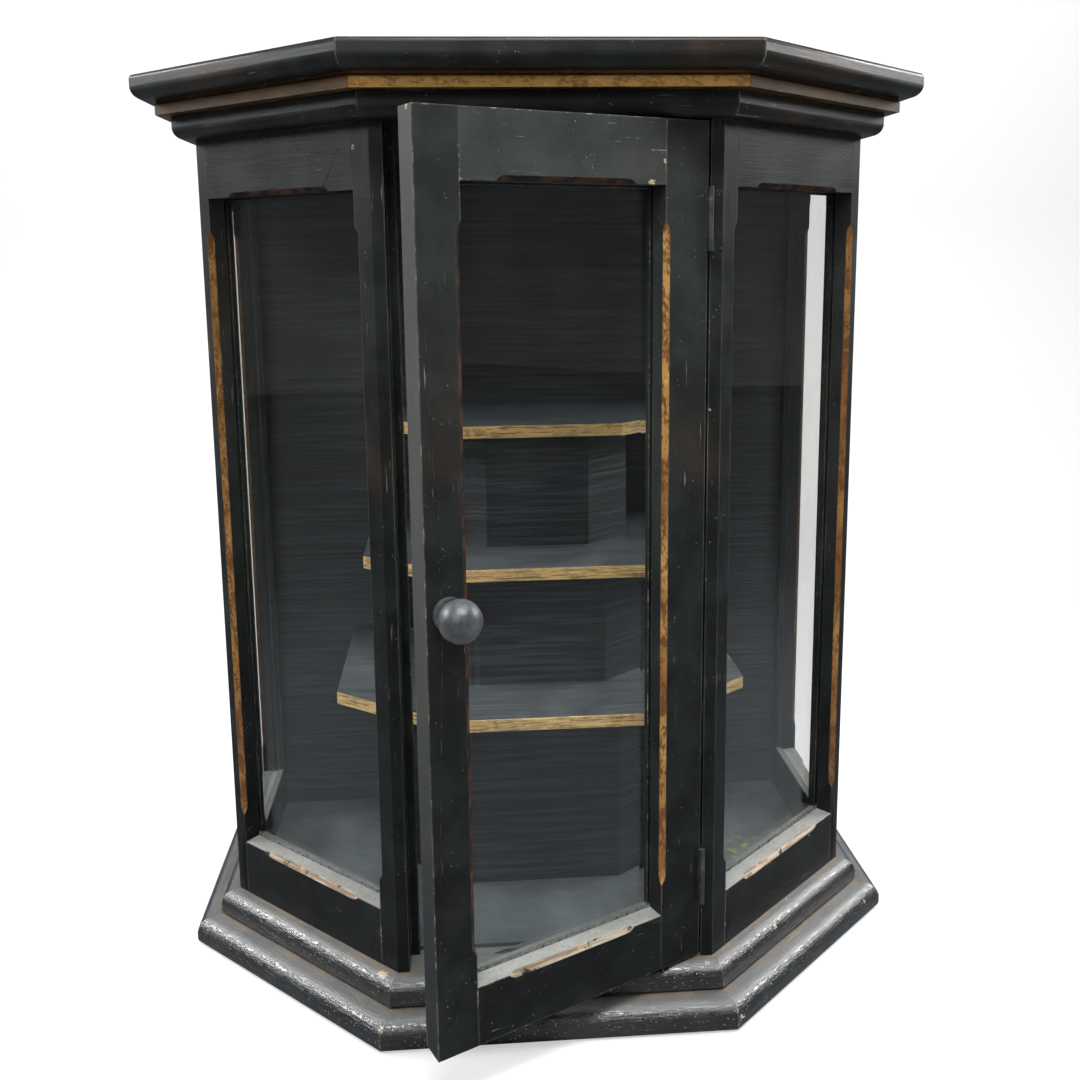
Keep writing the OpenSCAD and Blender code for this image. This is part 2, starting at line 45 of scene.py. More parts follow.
case_lo, case_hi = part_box("plinth_board")
front_y = case_lo[1]
case_half_w = case_hi[0]
corner_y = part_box("side_rail_bottom_right")[0][1] - CORNER_POST_SIDE_W
cant_angle = math.atan2(corner_y - front_y, case_half_w - FRONT_HALF_W)
cant_len = math.hypot(corner_y - front_y, case_half_w - FRONT_HALF_W)
light_z0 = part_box("side_rail_bottom_right")[1][2]
light_z1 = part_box("side_rail_top_right")[0][2]
side_light_y1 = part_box("back_post_right")[0][1]

door_joint = next(j for j in frame["joints"] if j["name"] == "door_hinge")
door_pivot = Vector(door_joint["pos_m"])
door_open = -math.radians(door_joint["range_deg"][0])


def door_shut(point):
    """Where a point of the door is when the door is shut."""
    turned = Matrix.Rotation(-door_open, 4, "Z") @ (Vector(point) - door_pivot)
    return turned + door_pivot


def door_extent(node):
    """Lowest and highest x of a door member across the shut door, in the door's own frame."""
    xs = [door_shut(v.co).x for v in frame["nodes"][node].data.vertices]
    return min(xs), max(xs)


# Each face of the case as (origin, angle): x runs along the face and y into the case
FACES = {
    "case": (Vector((0, 0, 0)), 0.0),
    "door": (Vector((door_pivot.x, door_pivot.y, 0)), door_open),
    "cant_right": (Vector((FRONT_HALF_W, front_y, 0)), cant_angle),
    "cant_left": (Vector((-FRONT_HALF_W, front_y, 0)), -cant_angle),
    "side_right": (Vector((case_half_w, corner_y, 0)), math.radians(90)),
    "side_left": (Vector((-case_half_w, corner_y, 0)), -math.radians(90)),
}

# ---------- widths of wear and dirt ----------

WOOD_EDGE = 0.0018  # width of worn edges on painted wood
LEAF_EDGE = 0.0014  # the same on gilding
IRON_EDGE = 0.0008  # the same on iron
ARRIS_FLAT = 0.985  # cosine between a face and its rounded normal, above which it is no edge
KNOCK_RAG = 0.012  # how far the outline of a knock strays
CORNER_DIRT = (0.009, 0.001)  # from a moulding's inner corner, where its dirt starts and fills
BAND_UPPER = 0.36  # brown share of the gilt band's height
BAND_BLUR = 0.0008  # half the width over which the brown turns to gold
PANE_FOOT = (0.004, 0.0005)  # above a pane's sill, where its dust starts and fills
GREEN_STAIN_AT = (0.205, 0.005, 0.0)
GREEN_STAIN_R = (0.04, 0.01)  # from the stain's middle, where it starts and fills

# ---------- node tree helpers ----------


class Tree:
    """The node tree of a new material or world, with short calls for the nodes used here."""

    def __init__(self, owner):
        owner.use_nodes = True
        self.owner = owner
        self.tree = owner.node_tree
        self.tree.nodes.clear()

    def put(self, socket, value):
        """Links a socket to another one, or sets it to a constant."""
        if isinstance(value, bpy.types.NodeSocket):
            self.tree.links.new(value, socket)
        else:
            socket.default_value = value

    def node(self, kind, inputs=(), **settings):
        made = self.tree.nodes.new(kind)
        for key, value in settings.items():
            setattr(made, key, value)
        for key, value in dict(inputs).items():
            self.put(made.inputs[key], value)
        return made

    def maths(self, operation, a, b=0.0, clamp=False):
        return self.node(
            "ShaderNodeMath", {0: a, 1: b}, operation=operation, use_clamp=clamp
        ).outputs[0]

    def times(self, a, b):
        return self.maths("MULTIPLY", a, b)

    def vector(self, operation, a, b=(0, 0, 0)):
        return self.node(
            "ShaderNodeVectorMath", {0: a, 1: b}, operation=operation
        ).outputs[0]

    def length(self, vector):
        return self.node("ShaderNodeVectorMath", {0: vector}, operation="LENGTH").outputs["Value"]

    def turn(self, vector, angle):
        """The vector turned about Z."""
        return self.node(
            "ShaderNodeVectorRotate", {"Vector": vector, "Angle": angle}, rotation_type="Z_AXIS"
        ).outputs[0]

    def split(self, vector):
        return self.node("ShaderNodeSeparateXYZ", {0: vector}).outputs

    def ramp(self, value, lo, hi):
        """0 at lo and below, 1 at hi and above, smooth between; lo may be over hi."""
        if lo > hi:
            return self.maths("SUBTRACT", 1.0, self.ramp(value, hi, lo))
        return self.node(
            "ShaderNodeMapRange",
            {"Value": value, "From Min": lo, "From Max": hi},
            interpolation_type="SMOOTHSTEP",
        ).outputs[0]

    def mix(self, share, a, b):
        """Colour a where share is 0 and b where it is 1."""
        made = self.node("ShaderNodeMix", data_type="RGBA")
        self.put(made.inputs[0], share)
        self.put(made.inputs[6], a)
        self.put(made.inputs[7], b)
        return made.outputs[2]

    def choose(self, share, a, b):
        """Vector a where share is 0 and b where it is 1."""
        made = self.node("ShaderNodeMix", data_type="VECTOR")
        self.put(made.inputs[0], share)
        self.put(made.inputs[4], a)
        self.put(made.inputs[5], b)
        return made.outputs[1]

    def blend(self, share, a, b):
        """Number a where share is 0 and b where it is 1."""
        made = self.node("ShaderNodeMix", data_type="FLOAT")
        self.put(made.inputs[0], share)
        self.put(made.inputs[2], a)
        self.put(made.inputs[3], b)
        return made.outputs[0]

    def noise(self, place, scale, detail=3.0, rough=0.55, stretch=None, twist=0.0):
        """Noise from 0 to 1 with scale in cells per metre; stretch slows it along each axis."""
        if stretch is not None:
            place = self.vector("MULTIPLY", place, stretch)
        return self.node(
            "ShaderNodeTexNoise",
            {
                "Vector": place,
                "Scale": scale,
                "Detail": detail,
                "Roughness": rough,
                "Distortion": twist,
            },
        ).outputs[0]

    def cells(self, place, scale):
        """Distance from the middle of the nearest cell, in cells."""
        made = self.node("ShaderNodeTexVoronoi", {"Vector": place, "Scale": scale})
        return made.outputs["Distance"]

    def bump(self, height, depth, strength=1.0, under=None):
        """A normal tilted by a height map that is depth metres deep, on top of the one under it."""
        made = self.node(
            "ShaderNodeBump", {"Height": height, "Distance": depth, "Strength": strength}
        )
        if under is not None:
            self.put(made.inputs["Normal"], under)
        return made.outputs[0]

    def shade(self, **values):
        """Ends the tree in a Principled shader; keys are its sockets with _ for a space."""
        shader = self.node("ShaderNodeBsdfPrincipled")
        for key, value in values.items():
            self.put(shader.inputs[key.replace("_", " ")], value)
        self.finish(shader.outputs[0])
        return self.owner

    def finish(self, shader):
        self.node("ShaderNodeOutputMaterial", {"Surface": shader})


def new_material(name):
    return Tree(bpy.data.materials.new(name))


def rgb(red, green, blue):
    """A colour from its 0 to 255 display values."""

    def linear(v):
        v = v / 255
        return v / 12.92 if v <= 0.04045 else ((v + 0.055) / 1.055) ** 2.4

    return (linear(red), linear(green), linear(blue), 1.0)


def face_space(tree, face):
    """The point and the surface's normal in one face's own frame."""
    origin, angle = FACES[face]
    coord = tree.node("ShaderNodeTexCoord").outputs
    place = tree.vector("SUBTRACT", coord["Object"], origin)
    return tree.turn(place, -angle), tree.turn(coord["Normal"], -angle)


def moulding_space(tree):
    """The same for mouldings that run round the case: each point is placed along its own length, on
    the face that it stands furthest out from."""
    coord = tree.node("ShaderNodeTexCoord").outputs
    best = tree.vector("SUBTRACT", coord["Object"], (0, front_y, 0))
    best_normal = coord["Normal"]
    for face in ("cant_right", "side_right", "cant_left", "side_left"):
        place, normal = face_space(tree, face)
        further_out = tree.maths("LESS_THAN", tree.split(place)[1], tree.split(best)[1])
        # The angle is only a shift along the face, so that its wear is no copy of its neighbour's
        shifted = tree.vector("ADD", place, (FACES[face][1], 0, 0))
        best = tree.choose(further_out, best, shifted)
        best_normal = tree.choose(further_out, best_normal, normal)
    return best, best_normal


def knocks(tree, spots):
    """1 in the ragged marks round the given points (x, y, z, radius)."""
    point = tree.node("ShaderNodeTexCoord").outputs["Object"]
    rag = tree.node(
        "ShaderNodeTexNoise", {"Vector": point, "Scale": 260, "Detail": 4.0, "Roughness": 0.7}
    ).outputs["Color"]
    stray = tree.vector("MULTIPLY", tree.vector("SUBTRACT", rag, (0.5,) * 3), (KNOCK_RAG,) * 3)
    point = tree.vector("ADD", point, stray)
    area = 0.0
    for x, y, z, radius in spots:
        apart = tree.length(tree.vector("SUBTRACT", point, (x, y, z)))
        area = tree.maths("MAXIMUM", area, tree.ramp(apart, radius, 0.3 * radius))
    return area


def arris(tree, radius, sharp):
    """1 on a solid's edges, where the rounded normal's cosine falls to sharp, 0 on its flats."""
    rounded = tree.node("ShaderNodeBevel", {"Radius": radius}, samples=4).outputs[0]
    flat = tree.node("ShaderNodeNewGeometry").outputs["Normal"]
    turned = tree.node(
        "ShaderNodeVectorMath", {0: rounded, 1: flat}, operation="DOT_PRODUCT"
    ).outputs["Value"]
    return tree.ramp(turned, ARRIS_FLAT, sharp)


# ---------- colours ----------

BLACK = rgb(12, 14, 15)
BLACK_WORN = rgb(27, 31, 31)
# Grey that a painted reflection of the room lightens the paint towards, near the top of the case
SHEEN_GREY = rgb(58, 62, 60)
SCUFF = rgb(142, 144, 140)
UNDERCOAT = rgb(70, 46, 30)
BARE_WOOD = rgb(184, 164, 132)
DUST = rgb(136, 137, 133)
DUST_DARK = rgb(114, 116, 116)
DIRT = rgb(140, 122, 98)
GOLD_DARK = rgb(34, 24, 14)
GOLD_BROWN = rgb(96, 65, 34)
GOLD = rgb(182, 139, 76)
GOLD_LIGHT = rgb(222, 196, 138)
RED_BROWN = rgb(84, 46, 28)
SILL_PALE = rgb(152, 144, 130)
SILL_STREAK = rgb(108, 92, 74)
CHAMFER_BROWN = rgb(98, 56, 24)
CHAMFER_DIRT = rgb(78, 48, 24)
BAND_DARK = rgb(56, 40, 20)
BAND_DULL = rgb(94, 70, 36)
BAND_BROWN = rgb(70, 48, 28)
BAND_CHIP = rgb(206, 186, 150)
SHELF_GOLD = rgb(214, 184, 124)
STAND_BLACK = rgb(9, 12, 16)
STAND_WORN = rgb(20, 24, 28)
STAND_GRAIN = rgb(50, 56, 62)
STAND_DUST = rgb(98, 103, 106)
BACK_BLACK = rgb(12, 15, 19)
BACK_RIDGE = rgb(38, 43, 48)
BACK_CLOUD = rgb(52, 57, 62)
PINE_DARK = rgb(112, 86, 58)
PINE = rgb(158, 130, 94)
PINE_STAIN = rgb(84, 68, 52)
PINE_KNOT = rgb(62, 42, 28)
FLOOR_BLACK = rgb(36, 41, 44)
FLOOR_DUSTY = rgb(62, 68, 72)
FLOOR_GREEN = rgb(120, 122, 34)
CORE_DARK = (104, 78, 50)
CORE_PALE = (150, 116, 78)
PANE = rgb(253, 254, 253)
PANE_DUST = rgb(150, 154, 152)
PANE_SHADE = (0.92, 0.94, 0.93, 1)
PANE_IOR = 1.4


def gold_leaf(tree, place, scale, bright):
    """Rubbed gilding: gold over brown with dark blotches and light flecks."""
    patch = tree.noise(place, scale, 5, 0.65, twist=0.6)
    fine = tree.noise(place, scale * 5, 3, 0.6)
    tone = tree.maths("ADD", tree.times(patch, 0.6), tree.times(fine, 0.4))
    colour = tree.mix(tree.ramp(tone, 0.52 - 0.12 * bright, 0.62 - 0.12 * bright), GOLD_BROWN, GOLD)
    colour = tree.mix(tree.ramp(tone, 0.60, 0.68), colour, GOLD_LIGHT)
    blotch = tree.noise(place, scale * 2.3, 5, 0.7, twist=1.2)
    blotch = tree.ramp(blotch, 0.45 - 0.06 * bright, 0.38 - 0.08 * bright)
    return tree.mix(blotch, colour, GOLD_DARK)


def black_paint(tree, place, normal, look):
    """Black paint over wood: returns its colour, roughness and bump normal."""
    grain, wear, gloss = look["grain"], look["wear"], look["gloss"]
    along, slow, scratch_way = [1.0] * 3, [1.0] * 3, [1.0] * 3
    axis = "xyz".index(grain)
    along[axis], slow[axis], scratch_way[axis] = 0.02, 0.12, 0.06
    height = tree.split(place)[2]
    cloud = tree.noise(place, 22, 4, 0.6)
    patch = tree.noise(place, 7, 4, 0.6)
    brush = tree.noise(place, 900, 3, 0.6, stretch=along)
    streak = tree.noise(place, 170, 4, 0.65, stretch=slow)
    scratch = tree.noise(place, 480, 2, 0.5, stretch=scratch_way)

    # The paint: cloudy black, lightened towards the top of the case by a painted reflection of the
    # room, thin where the undercoat shows
    colour = tree.mix(tree.ramp(cloud, 0.35, 0.75), BLACK, BLACK_WORN)
    faded = tree.times(tree.ramp(height, 0.0, 0.95), look["fade"])
    faded = tree.times(faded, tree.blend(tree.ramp(cloud, 0.3, 0.7), 0.75, 1.15))
    colour = tree.mix(faded, colour, SHEEN_GREY)
    colour = tree.mix(tree.times(tree.ramp(patch, 0.5, 0.75), 0.3), colour, UNDERCOAT)
    colour = tree.mix(tree.times(tree.ramp(brush, 0.5, 0.85), 0.35), colour, BLACK_WORN)
    rubbed = tree.times(tree.ramp(streak, 0.66, 0.74), tree.ramp(cloud, 0.5, 0.62))
    colour = tree.mix(tree.times(rubbed, 0.5), colour, UNDERCOAT)

    # Scratches, specks and small chips
    scored = tree.times(tree.ramp(scratch, 0.70, 0.74), tree.ramp(patch, 0.46, 0.58))
    colour = tree.mix(tree.times(scored, look["scratched"]), colour, SCUFF)
    speck = tree.times(
        tree.ramp(tree.cells(place, 300), 0.19, 0.10),
        tree.ramp(tree.noise(place, 60, 4, 0.7), look["clean"], look["clean"] + 0.1),
    )
    colour = tree.mix(tree.times(speck, 0.8), colour, SCUFF)
    chip = tree.ramp(tree.noise(place, 95, 4, 0.6), 0.745, 0.765)
    colour = tree.mix(chip, colour, BARE_WOOD)

    # Edges: a thin grey line, broken by stretches worn bare
    edge = arris(tree, WOOD_EDGE, 0.88)
    broken = tree.ramp(tree.noise(place, 130, 6, 0.75), 0.60 - 0.12 * wear, 0.68 - 0.10 * wear)
    bare = tree.times(edge, broken)
    worn = tree.mix(tree.ramp(tree.noise(place, 60, 2), 0.4, 0.6), SCUFF, BARE_WOOD)
    thin = tree.times(edge, tree.blend(tree.ramp(patch, 0.4, 0.65), 0.08, 0.4))
    colour = tree.mix(thin, colour, SCUFF)
    colour = tree.mix(bare, colour, worn)

    # Dust on what faces up, and dirt caked along the inner corners of the mouldings
    up = tree.ramp(tree.split(normal)[2], 0.80, 0.99)
    settled = tree.noise(place, 28, 6, 0.72)
    grit = tree.noise(place, 330, 4, 0.7)
    up_dust = tree.times(up, look["dust"])
    film = tree.blend(tree.ramp(settled, 0.25, 0.75), 0.75, 1.1)
    film = tree.maths("MULTIPLY", up_dust, film, clamp=True)
    powder = tree.mix(tree.times(tree.ramp(grit, 0.5, 0.75), 0.4), look["powder"], BLACK_WORN)
    for line in look["corners"]:
        apart = tree.maths("ABSOLUTE", tree.maths("SUBTRACT", tree.split(place)[1], line))
        caked = tree.times(tree.ramp(apart, *CORNER_DIRT), tree.ramp(settled, 0.35, 0.6))
        powder = tree.mix(tree.times(caked, 0.8), powder, DIRT)
    colour = tree.mix(film, colour, powder)

    rough = tree.blend(tree.ramp(cloud, 0.3, 0.7), gloss, 1.3 * gloss)
    rough = tree.blend(tree.ramp(brush, 0.4, 0.8), rough, 1.5 * gloss)
    rough = tree.blend(tree.maths("MAXIMUM", film, bare), rough, look["matt"])
    relief = tree.maths("ADD", tree.times(brush, 0.35), tree.times(streak, 0.65))
    bumped = tree.bump(relief, look["relief"])
    if look["pits"]:
        pits = tree.noise(place, 420, 4, 0.7, stretch=[v ** 0.25 for v in slow])
        bumped = tree.bump(tree.ramp(pits, 0.3, 0.6), look["pits"], under=bumped)
    bumped = tree.bump(tree.maths("MAXIMUM", bare, chip), -0.0003, 0.6, under=bumped)
    return colour, rough, bumped


def chamfer_area(tree, place, normal, across, edge, lo, hi):
    """1 on one stopped chamfer from lo to hi: across is the axis that its width is measured on, and
    edge is where its corner was."""
    lane, run = {"x": (0, 2), "z": (2, 0)}[across]
    point = tree.split(place)
    facing = tree.split(normal)
    apart = tree.maths("ABSOLUTE", tree.maths("SUBTRACT", point[lane], edge))
    near = tree.ramp(apart, *CHAMFER_EDGE)
    start = tree.ramp(point[run], lo, lo + CHAMFER_END)
    end = tree.ramp(point[run], hi, hi - CHAMFER_END)
    slant = tree.times(
        tree.ramp(tree.maths("ABSOLUTE", facing[lane]), 0.3, 0.4),
        tree.ramp(tree.times(facing[1], -1.0), 0.25, 0.35),
    )
    return tree.times(tree.times(near, slant), tree.times(start, end))


# Black paint as most members have it; ebony takes changes to it
LOOK = {
    "grain": "z",  # the axis that the grain runs along
    "wear": 0.2,  # how much of the edges is bare
    "dust": 0.5,  # share of what faces up that dust hides
    "gloss": 0.34,  # roughness of clean paint
    "fade": 0.5,  # strength of the painted reflection that lightens the paint towards the top of the case
    "powder": DUST,  # colour of the dust
    "matt": 0.8,  # roughness of dust and bare wood
    "corners": (),  # y of the mouldings' inner corners, out from the face
    "clean": 0.55,  # noise level where specks start, so a higher one gives fewer
    "scratched": 0.45,  # strength of the scratches
    "relief": 0.0002,  # depth of grain and brush marks
    "pits": 0.0,  # depth of the pits
}


def ebony(name, face, chamfers=(), spots=(), shine=0.15, edge_grey=None, **changes):
    """Black-painted wood of one face, or of mouldings, with the finish of each stopped chamfer.
    Spots are knocks down to bare wood, and the grey given for an edge is a painted glare on the
    face turned to the left."""
    tree = new_material(name)
    place, normal = moulding_space(tree) if face == "moulding" else face_space(tree, face)
    colour, rough, bumped = black_paint(tree, place, normal, {**LOOK, **changes})
    if edge_grey is not None:
        # Painted glare: the face turned to the left is lightened to grey, less towards the foot
        glare_share = tree.ramp(tree.split(normal)[0], -0.7, -0.9)
        glare_share = tree.times(glare_share, tree.ramp(tree.split(place)[2], 0.05, 0.62))
        mottle = tree.noise(place, 60, 5, 0.7, stretch=(1, 1, 0.2))
        glare_share = tree.times(glare_share, tree.blend(mottle, 0.55, 1.15))
        colour = tree.mix(glare_share, colour, edge_grey)
    if spots:
        flaked = tree.maths("ADD", knocks(tree, spots), tree.noise(place, 600, 4, 0.75))
        ragged = tree.ramp(flaked, 1.44, 1.50)
        colour = tree.mix(ragged, colour, BARE_WOOD)
    for finish, across, edge, lo, hi in chamfers:
        area = chamfer_area(tree, place, normal, across, edge, lo, hi)
        if finish in ("gold", "dim gold"):
            slow = tree.ramp(tree.noise(place, 9, 3, 0.6), 0.35, 0.6)
            bright = gold_leaf(tree, tree.vector("MULTIPLY", place, (1, 1, 0.4)), 130, 0.6)
            skin = tree.mix(slow, tree.mix(0.75, bright, CHAMFER_BROWN), bright)
            skin = tree.mix(0.55 if finish == "dim gold" else 0.3, skin, CHAMFER_DIRT)
            share = area
        elif finish == "dull":
            skin = gold_leaf(tree, place, 70, -0.4)
            share = tree.times(area, 0.6)
        elif finish == "red":
            skin = tree.mix(tree.ramp(tree.noise(place, 90, 4), 0.35, 0.6), RED_BROWN, BLACK)
            share = tree.times(area, 0.85)
        else:
            streaky = tree.noise(place, 300, 4, 0.65, stretch=(0.06, 1, 1))
            pale = tree.mix(tree.ramp(streaky, 0.42, 0.6), SILL_PALE, SILL_STREAK)
            skin = tree.mix(
                tree.ramp(tree.noise(place, 26, 4, 0.7), 0.56, 0.66),
                pale,
                tree.mix(0.5, gold_leaf(tree, place, 60, 0.6), pale),
            )
            share = tree.times(area, tree.ramp(tree.noise(place, 60, 5, 0.7), 0.36, 0.44))
        colour = tree.mix(share, colour, skin)
        rough = tree.blend(share, rough, 0.5)
    return tree.shade(
        Base_Color=colour,
        Roughness=rough,
        Normal=bumped,
        Specular_IOR_Level=shine,
    )


# ---------- the other materials ----------


def gilt_band():
    """The cornice's gilt band: brown over its upper third and gold below it, with the cants dulled
    by painted shade.
    """
    tree = new_material("gilt_band")
    place, _ = moulding_space(tree)
    height = tree.split(place)[2]
    facing = tree.split(tree.node("ShaderNodeTexCoord").outputs["Normal"])
    band_lo, band_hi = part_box("gilt_band")[0][2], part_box("gilt_band")[1][2]
    bright = gold_leaf(tree, tree.vector("MULTIPLY", place, (0.5, 1.0, 1.0)), 110, 0.8)
    fleck = tree.times(tree.ramp(tree.noise(place, 320, 4, 0.7), 0.66, 0.70), 0.8)
    bright = tree.mix(fleck, bright, GOLD_LIGHT)
    bright = tree.mix(0.35, bright, GOLD)
    dull = tree.mix(
        tree.ramp(tree.noise(place, 60, 5, 0.7, stretch=(0.3, 1, 1)), 0.35, 0.7),
        BAND_DARK,
        BAND_DULL,
    )
    # Painted light: bright gold on the faces turned to the front, dull brown-gold on the cants as
    # painted shade
    front = tree.ramp(tree.times(facing[1], -1.0), 0.85, 0.95)
    colour = tree.mix(front, dull, bright)
    line = band_hi - BAND_UPPER * (band_hi - band_lo)
    upper = tree.ramp(height, line - BAND_BLUR, line + BAND_BLUR)
    colour = tree.mix(tree.times(upper, 0.7), colour, BAND_BROWN)
    edge = arris(tree, LEAF_EDGE, 0.90)
    chip = tree.times(edge, tree.ramp(tree.noise(place, 120, 5, 0.7), 0.58, 0.66))
    colour = tree.mix(tree.times(chip, 0.7), colour, BAND_CHIP)
    bumped = tree.bump(tree.noise(place, 500, 4, 0.6), 0.0003)
    return tree.shade(
        Base_Color=colour, Roughness=0.55, Normal=bumped, Metallic=0.15, Specular_IOR_Level=0.2
    )


def stand_boards(name, gilded):
    """Dark shelf and riser boards: dusty tops and, on a shelf, rubbed gilding on the edges with a
    painted highlight along their arrises.
    """
    tree = new_material(name)
    place, normal = face_space(tree, "case")
    facing = tree.split(normal)
    along = (0.04, 1, 1) if gilded else (0.04, 0.04, 1)
    grain = tree.noise(place, 260, 4, 0.6, stretch=along, twist=0.3 if gilded else 0.0)
    cloud = tree.noise(place, 16, 5, 0.65)
    colour = tree.mix(tree.ramp(cloud, 0.3, 0.7), STAND_BLACK, STAND_WORN)
    colour = tree.mix(tree.times(tree.ramp(grain, 0.45, 0.62), 0.7), colour, STAND_GRAIN)
    up = tree.ramp(facing[2], 0.5, 0.95)
    settled = tree.times(up, tree.ramp(tree.noise(place, 30, 6, 0.7), 0.2, 0.8))
    settled = tree.times(settled, tree.blend(tree.noise(place, 420, 4, 0.75), 0.3, 1.5))
    colour = tree.mix(tree.times(settled, 0.36), colour, STAND_DUST)
    speck = tree.times(up, tree.ramp(tree.cells(place, 300), 0.16, 0.07))
    colour = tree.mix(tree.times(speck, 0.4), colour, SCUFF)
    rough = tree.blend(settled, 0.5, 0.75)
    if gilded:
        side = tree.ramp(tree.maths("ABSOLUTE", facing[2]), 0.8, 0.6)
        leaf = gold_leaf(tree, tree.vector("MULTIPLY", place, (0.5, 0.5, 1.6)), 110, 0.9)
        leaf = tree.mix(0.45, leaf, SHELF_GOLD)
        scratch = tree.noise(place, 800, 3, 0.6, stretch=(0.05, 0.05, 1))
        leaf = tree.mix(tree.times(tree.ramp(scratch, 0.50, 0.62), 0.75), leaf, GOLD_DARK)
        rubbed = tree.ramp(tree.noise(place, 70, 4, 0.7), 0.56, 0.64)
        leaf = tree.mix(tree.times(rubbed, 0.5), leaf, GOLD_BROWN)
        # Painted highlight: the gilded arrises are lightened to pale gold
        edge = arris(tree, LEAF_EDGE, 0.90)
        leaf = tree.mix(tree.times(edge, 0.7), leaf, GOLD_LIGHT)
        colour = tree.mix(side, colour, leaf)
        rough = tree.blend(side, rough, 0.5)
    bumped = tree.bump(grain, 0.001)
    return tree.shade(Base_Color=colour, Roughness=rough, Normal=bumped)


def back_boards():
    """Level boards: black and ribbed with raised grain inside the case, bare old pine outside."""
    tree = new_material("back_boards")
    place, normal = face_space(tree, "case")
    low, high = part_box("back_boards")
    pitch = (high[2] - low[2]) / BACK_BOARDS
    height = tree.maths("SUBTRACT", tree.split(place)[2], low[2])
    board = tree.maths("FLOOR", tree.maths("DIVIDE", height, pitch))
    shift = tree.node("ShaderNodeCombineXYZ", {0: tree.times(board, BOARD_SHIFT)})
    place = tree.vector("ADD", place, shift.outputs[0])
    rib = tree.noise(place, 260, 3, 0.5, stretch=(0.03, 1, 1), twist=0.4)
    wide = tree.noise(place, 45, 4, 0.6, stretch=(0.08, 1, 1), twist=0.8)
    ridge = tree.maths("ADD", tree.times(rib, 0.6), tree.times(wide, 0.4))
    inside = tree.mix(tree.ramp(ridge, 0.42, 0.62), BACK_BLACK, BACK_RIDGE)
    inside = tree.mix(
        tree.times(tree.ramp(tree.noise(place, 9, 4, 0.6), 0.4, 0.8), 0.35),
        inside,
        BACK_CLOUD,
    )
    fine = tree.noise(place, 520, 4, 0.7, stretch=(0.02, 1, 1))
    growth = tree.maths("ADD", tree.times(fine, 0.45), tree.times(wide, 0.55))
    pine = tree.mix(tree.ramp(growth, 0.40, 0.60), PINE_DARK, PINE)
    stain = tree.ramp(tree.noise(place, 5, 5, 0.6, stretch=(0.6, 1, 1)), 0.45, 0.7)
    pine = tree.mix(tree.times(stain, 0.5), pine, PINE_STAIN)
    knot = tree.ramp(tree.cells(tree.vector("MULTIPLY", place, (0.7, 1, 1.3)), 5.5), 0.05, 0.03)
    pine = tree.mix(tree.times(knot, 0.8), pine, PINE_KNOT)
    outside = tree.ramp(tree.split(normal)[1], 0.5, 0.7)
    colour = tree.mix(outside, inside, pine)
    rough = tree.blend(outside, 0.55, 0.85)
    bumped = tree.bump(ridge, tree.blend(outside, 0.0016, 0.0006))
    return tree.shade(Base_Color=colour, Roughness=rough, Normal=bumped)


def cabinet_floor():
    """The floor board: black under settled dust, with a smear of yellow-green by the right side."""
    tree = new_material("cabinet_floor")
    place, _ = face_space(tree, "case")
    grain = tree.noise(place, 300, 4, 0.6, stretch=(0.05, 1, 1))
    film = tree.noise(place, 14, 6, 0.7)
    colour = tree.mix(tree.ramp(film, 0.3, 0.75), FLOOR_BLACK, FLOOR_DUSTY)
    colour = tree.mix(tree.times(tree.ramp(grain, 0.5, 0.8), 0.15), colour, DUST)
    off = tree.vector("MULTIPLY", tree.vector("SUBTRACT", place, GREEN_STAIN_AT), (1, 1, 0))
    scraps = tree.ramp(tree.noise(place, 90, 5, 0.7), 0.5, 0.6)
    stain = tree.times(tree.ramp(tree.length(off), *GREEN_STAIN_R), scraps)
    colour = tree.mix(tree.times(stain, 0.8), colour, FLOOR_GREEN)
    return tree.shade(Base_Color=colour, Roughness=0.7, Normal=tree.bump(grain, 0.0004))


def raw_wood(name, shade):
    """Bare old softwood on faces that nobody sees in use."""
    tree = new_material(name)
    place, _ = face_space(tree, "case")
    grain = tree.noise(place, 240, 4, 0.6, stretch=(0.04, 1, 1), twist=0.5)
    dark, pale = (rgb(*(shade * part for part in wood)) for wood in (CORE_DARK, CORE_PALE))
    colour = tree.mix(tree.ramp(grain, 0.35, 0.7), dark, pale)
    return tree.shade(Base_Color=colour, Roughness=0.82, Normal=tree.bump(grain, 0.0006))


def painted_iron(name, rubbed, dark, pale):
    """Black-painted iron, rubbed to grey where it is handled, with pale chips."""
    tree = new_material(name)
    place, _ = face_space(tree, "case")
    cloud = tree.noise(place, 70, 5, 0.65)
    colour = tree.mix(tree.ramp(cloud, 0.35, 0.7), dark, pale)
    edge = arris(tree, IRON_EDGE, 0.90)
    chip = tree.times(edge, tree.ramp(tree.noise(place, 260, 4, 0.7), 0.56, 0.62))
    colour = tree.mix(tree.times(chip, rubbed), colour, BARE_WOOD)
    rough = tree.blend(cloud, 0.30, 0.50)
    bumped = tree.bump(tree.noise(place, 600, 4, 0.6), 0.0002)
    return tree.shade(Base_Color=colour, Roughness=rough, Normal=bumped, Metallic=0.2)


